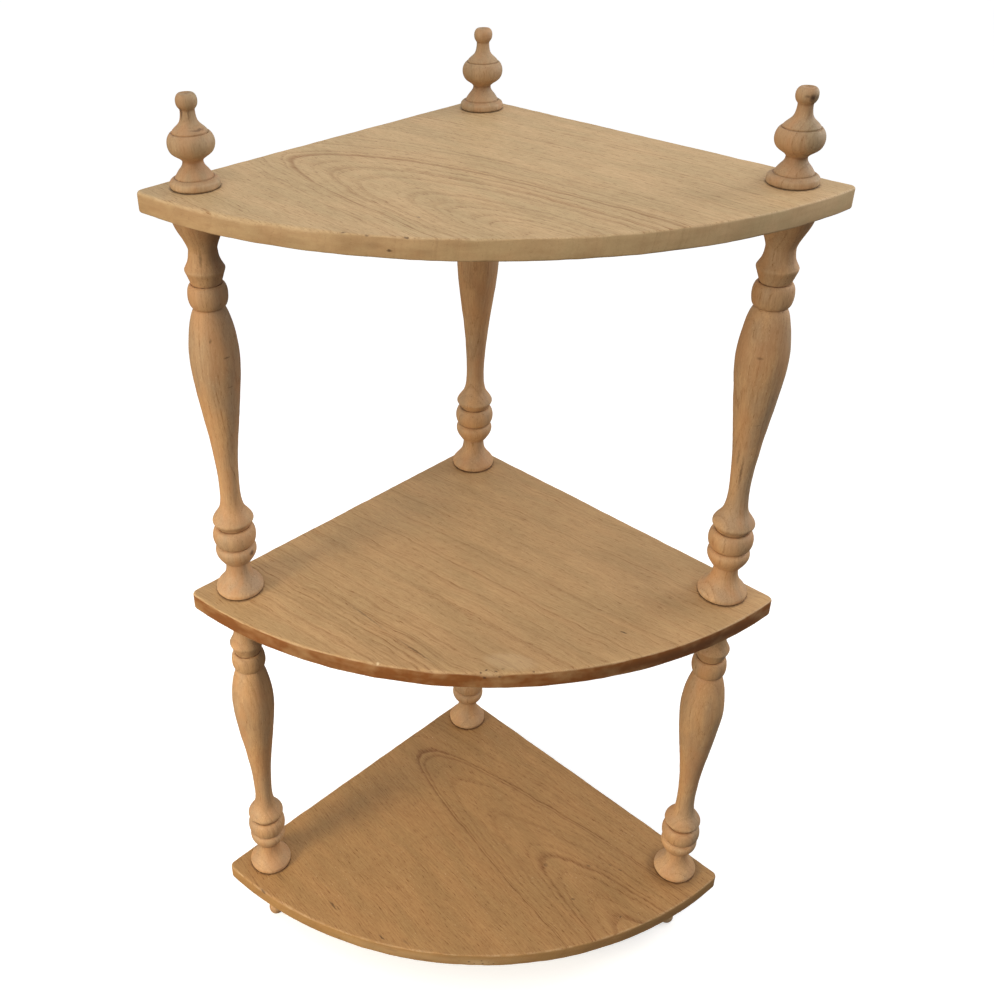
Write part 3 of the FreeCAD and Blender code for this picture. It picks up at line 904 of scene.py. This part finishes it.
def lathe_tree(settings):
    """Geometry Nodes lathe: turns an outline of radius and height into a hand-sanded turned piece."""
    tree = bpy.data.node_groups.new("lathe", "GeometryNodeTree")
    tree.is_modifier = True
    add = partial(add_node, tree)
    for name, kind in (("Outline", "Geometry"), ("Place", "Vector"), ("Wood Turn", "Float"),
                       ("Wood Shift", "Float"), ("Material", "Material")):
        tree.interface.new_socket(name, in_out="INPUT", socket_type="NodeSocket" + kind)
    tree.interface.new_socket("Piece", in_out="OUTPUT", socket_type="NodeSocketGeometry")
    given = add("NodeGroupInput").outputs

    # The outline as a smooth curve with its true corners kept, in evenly spaced points
    outline = add("MeshToCurve", {"Mesh": given["Outline"]})
    smooth = add("CurveSplineType", {"Curve": outline}, spline_type="BEZIER")
    sides = {"LEFT", "RIGHT"}
    smooth = add("CurveSetHandles", {"Curve": smooth}, handle_type="AUTO", mode=sides)
    corner = add("InputNamedAttribute", {"Name": "corner"}, data_type="BOOLEAN")
    cornered = add("CurveSetHandles", {"Curve": smooth, "Selection": corner},
                   handle_type="VECTOR", mode=sides)
    marked = add("ResampleCurve", {"Curve": cornered, "Length": settings.ring_step}, mode="LENGTH")

    # How deep each point lies in a groove and in a sharp inner corner: the radius of its wide or near
    # neighbourhood less its own
    place = add("InputPosition")
    spot = add("SeparateXYZ", [place])
    radius = spot.outputs["X"]
    for name, reach in (("recess", 24), ("inner_corner", 5)):
        around = add("BlurAttribute", {"Value": radius, "Iterations": reach, "Weight": 1.0},
                     data_type="FLOAT")
        marked = add("StoreNamedAttribute", {
            "Geometry": marked, "Name": name, "Value": add("Math SUBTRACT", [around, radius])},
            data_type="FLOAT", domain="POINT")

    # The outline goes round a small circle, set in by that circle's radius, and comes out inside out
    small = 1 * MM
    circle = add("CurvePrimitiveCircle", {"Resolution": settings.segments, "Radius": small})
    section = add("CombineXYZ", [
        add("Math SUBTRACT", [radius, small]), add("Math MULTIPLY", [spot.outputs["Z"], -1.0])])
    laid = add("SetPosition", {"Geometry": marked, "Position": section})
    turned = add("CurveToMesh", {"Curve": circle, "Profile Curve": laid})
    closed = add("MergeByDistance", {"Geometry": turned, "Distance": 0.01 * MM})
    closed = add("FlipFaces", {"Mesh": closed})

    # Hand sanding leaves the round a little uneven, except near the pin holes
    hole_wall = 5.2 * MM
    clear_of_hole = 9 * MM
    flat = add("VectorMath MULTIPLY", [place, (1, 1, 0)])
    thick = rise(tree, add("VectorMath LENGTH", [flat]), hole_wall, clear_of_hole)
    uneven = add("TexNoise", {
        "Vector": add("VectorMath ADD", [place, given["Place"]]), "Scale": 55.0, "Detail": 2.0})
    off = add("Math MULTIPLY", [add("Math SUBTRACT", [uneven, 0.5]), thick])
    off = add("Math MULTIPLY", [off, settings.sanding * 2])
    offset = add("VectorMath SCALE", {0: add("VectorMath NORMALIZE", [flat]), "Scale": off})
    sanded = add("SetPosition", {"Geometry": closed, "Offset": offset})

    # Where each point lies in its own block of wood, with the length first
    spun = add("VectorRotate", {"Vector": place, "Angle": given["Wood Turn"]}, rotation_type="Z_AXIS")
    parts = add("SeparateXYZ", [spun]).outputs
    block = add("CombineXYZ", [
        add("Math ADD", [parts["Z"], given["Wood Shift"]]), parts["X"], parts["Y"]])
    piece = add("StoreNamedAttribute", {
        "Geometry": sanded, "Name": "wood_place", "Value": block}, data_type="FLOAT_VECTOR", domain="POINT")
    for kind, inputs in (("Transform", {"Translation": given["Place"]}), ("SetShadeSmooth", {}),
                         ("RealizeInstances", {}), ("SetMaterial", {"Material": given["Material"]})):
        piece = add(kind, {"Geometry": piece, **inputs})
    add("NodeGroupOutput", [piece])
    return tree


def turn_piece(tree, name, post, material, settings, number):
    """One turned piece on the lathe, as a plain mesh in its place."""
    points, corners, place = turned_section(name, post, settings)
    outline = bpy.data.meshes.new(name + "_outline")
    outline.from_pydata([(radius, 0, height) for radius, height in points],
                        [(n, n + 1) for n in range(len(points) - 1)], [])
    outline.attributes.new("corner", "BOOLEAN", "POINT").data.foreach_set("value", corners)
    blank = add_object(name + "_blank", outline)
    lathe = blank.modifiers.new("lathe", "NODES")
    lathe.node_group = tree
    sockets = {item.name: item.identifier for item in tree.interface.items_tree
               if item.item_type == "SOCKET" and item.in_out == "INPUT"}
    # Each piece comes from its own stretch of the block, turned on from the one before
    golden_angle = math.radians(137.5)
    block_step = 0.41
    lathe[sockets["Place"]] = place
    lathe[sockets["Wood Turn"]] = golden_angle * number
    lathe[sockets["Wood Shift"]] = block_step * number
    lathe[sockets["Material"]] = material
    mesh = bpy.data.meshes.new_from_object(blank.evaluated_get(bpy.context.evaluated_depsgraph_get()))
    mesh.name = "turned_" + name
    bpy.data.objects.remove(blank)
    bpy.data.meshes.remove(outline)
    return mesh


class SHELF_OT_turnings(bpy.types.Operator):
    """Turn the six spindles, the three finials and the three feet"""

    bl_idname = "shelf.turnings"
    bl_label = "Spindles, finials and feet"

    def execute(self, context):
        settings = context.scene.shelf
        wood = settings.wood
        turned = wood_material("turned_hardwood", FIGURES["turnings"], MARKS["turnings"], turning_place,
                               wood.turning, wood.turning_other, wood, groove="recess")
        # A darker copy of the turned wood for the finials: partly their own colour, partly painted shade
        darker = wood_material("turned_hardwood_finials", FIGURES["turnings"], MARKS["finials"],
                               turning_place, wood.finial, wood.finial_other, wood, groove="recess")
        tree = lathe_tree(settings.turnings)
        number = 1
        for kind in (*SPINDLES, "finial", "foot"):
            for post in POSTS:
                name = kind + "_" + post
                material = darker if kind == "finial" else turned
                mesh = turn_piece(tree, name, post, material, settings.turnings, number)
                add_piece("turned_" + name, mesh, material, [name])
                number += 1
        return {"FINISHED"}


class SHELF_OT_pins(bpy.types.Operator):
    """Give the dowel pins their wood"""

    bl_idname = "shelf.pins"
    bl_label = "Dowel pins"

    def execute(self, context):
        settings = context.scene.shelf
        wood = settings.wood
        material = wood_material("dowel_rod", FIGURES["pins"], MARKS["pins"], pin_place, wood.dowel,
                                 wood.dowel_other, wood)
        for kind in PINS:
            for post in POSTS:
                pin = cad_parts[kind + "_" + post]
                pin.data.materials.clear()
                pin.data.materials.append(material)
        return {"FINISHED"}


# Studio


class SHELF_OT_studio(bpy.types.Operator):
    """Set up the floor, the background, the lamps and the camera"""

    bl_idname = "shelf.studio"
    bl_label = "Studio"

    def execute(self, context):
        scene = context.scene
        settings = scene.shelf.studio

        scene.camera = add_object("camera", bpy.data.cameras.new("camera"))
        lens = scene.camera.data
        lens.sensor_width = 36
        lens.lens = settings.lens
        lens.shift_x = settings.shift_right
        lens.shift_y = settings.shift_up
        lens.clip_start = 0.05
        scene.camera.location = settings.camera_place
        scene.camera.rotation_mode = "XYZ"
        turn = settings.camera_turn
        tilt = settings.camera_tilt
        sight = Vector((-math.sin(turn) * math.cos(tilt), math.cos(turn) * math.cos(tilt), -math.sin(tilt)))
        level = sight.to_track_quat("-Z", "Y").to_matrix()
        roll = Matrix.Rotation(-settings.camera_roll, 3, "Z")
        scene.camera.rotation_euler = (level @ roll).to_euler()

        half = 30.0
        mesh = bpy.data.meshes.new("floor")
        mesh.from_pydata([(-half, -half, 0), (half, -half, 0), (half, half, 0), (-half, half, 0)], [],
                         [(0, 1, 2, 3)])
        mesh.materials.append(floor_material())
        add_object("floor", mesh)

        cool = settings.ambient_colour[:3]
        add_lamp("key_lamp", settings.key_place, (-0.14, -0.05, 0.17), settings.key_colour,
                 settings.key_power, 0.5, settings.key_spread)
        add_lamp("window", settings.window_place, (0, 0, 0.45), cool, settings.window_power, 1.8, math.pi)
        add_lamp("fill_lamp", settings.fill_place, (0, 0, 0.75), cool, settings.fill_power, 1.0,
                 settings.fill_spread)

        # The background is white to the camera, and gives its own light to the shelf
        scene.world = bpy.data.worlds.new("studio_light")
        tree = empty_tree(scene.world)
        add = partial(add_node, tree)
        rays = add("LightPath").outputs
        seen = add("Math MAXIMUM", [rays["Is Camera Ray"], rays["Is Glossy Ray"]])
        seen = add("Math MAXIMUM", [seen, rays["Is Transmission Ray"]])
        light = add("Background", {"Color": settings.ambient_colour, "Strength": settings.ambient})
        white = add("Background", {"Color": (1, 1, 1, 1), "Strength": 1.0})
        add("OutputWorld", {"Surface": add("MixShader", [seen, light, white])})

        scene.view_settings.view_transform = "Standard"
        return {"FINISHED"}


def add_lamp(name, place, aim, colour, power, size, spread):
    """Round soft lamp."""
    lamp = add_object(name, bpy.data.lights.new(name, "AREA"))
    lamp.data.shape = "DISK"
    lamp.data.size = size
    lamp.data.spread = spread
    lamp.data.energy = power
    lamp.data.color = colour
    lamp.location = place
    lamp.rotation_euler = (Vector(aim) - lamp.location).to_track_quat("-Z", "Y").to_euler()


def floor_material():
    """Matt paper: white to the camera, with the shelf's shadow kept, and grey to the object."""
    material = bpy.data.materials.new("white_paper")
    add = partial(add_node, empty_tree(material))
    seen = add("LightPath").outputs["Is Camera Ray"]
    shade = add("Mix", {0: seen, 6: linear_colour("#505050"), 7: linear_colour("#F4F2EF")},
                data_type="RGBA")
    lift = add("Emission", {"Color": (1, 1, 1, 1), "Strength": add("Math MULTIPLY", [seen, 0.50])})
    both = add("AddShader", [add("BsdfDiffuse", {"Color": shade}), lift])
    add("OutputMaterial", {"Surface": both})
    return material


class SHELF_PT_panel(bpy.types.Panel):
    """Sidebar panel of the corner shelf"""

    bl_idname = "SHELF_PT_panel"
    bl_label = "Corner Shelf"
    bl_space_type = "VIEW_3D"
    bl_region_type = "UI"
    bl_category = "Shelf"

    def draw(self, context):
        layout = self.layout
        settings = context.scene.shelf
        for group in (settings.boards, settings.turnings, settings.wood, settings.studio):
            box = layout.box()
            for name in group.bl_rna.properties.keys():
                if name not in {"rna_type", "name"}:
                    box.prop(group, name)
        for operator in STEPS:
            layout.operator(operator.bl_idname)


STEPS = (SHELF_OT_boards, SHELF_OT_turnings, SHELF_OT_pins, SHELF_OT_studio)
GROUPS = (BoardSettings, TurningSettings, WoodSettings, StudioSettings, ShelfSettings)


def register():
    for kind in (*GROUPS, *STEPS, SHELF_PT_panel):
        bpy.utils.register_class(kind)
    bpy.types.Scene.shelf = bpy.props.PointerProperty(type=ShelfSettings)


def unregister():
    del bpy.types.Scene.shelf
    for kind in reversed((*GROUPS, *STEPS, SHELF_PT_panel)):
        bpy.utils.unregister_class(kind)


def main():
    register()
    bpy.ops.shelf.boards()
    bpy.ops.shelf.turnings()
    bpy.ops.shelf.pins()
    bpy.ops.shelf.studio()


if __name__ == "__main__":
    main()
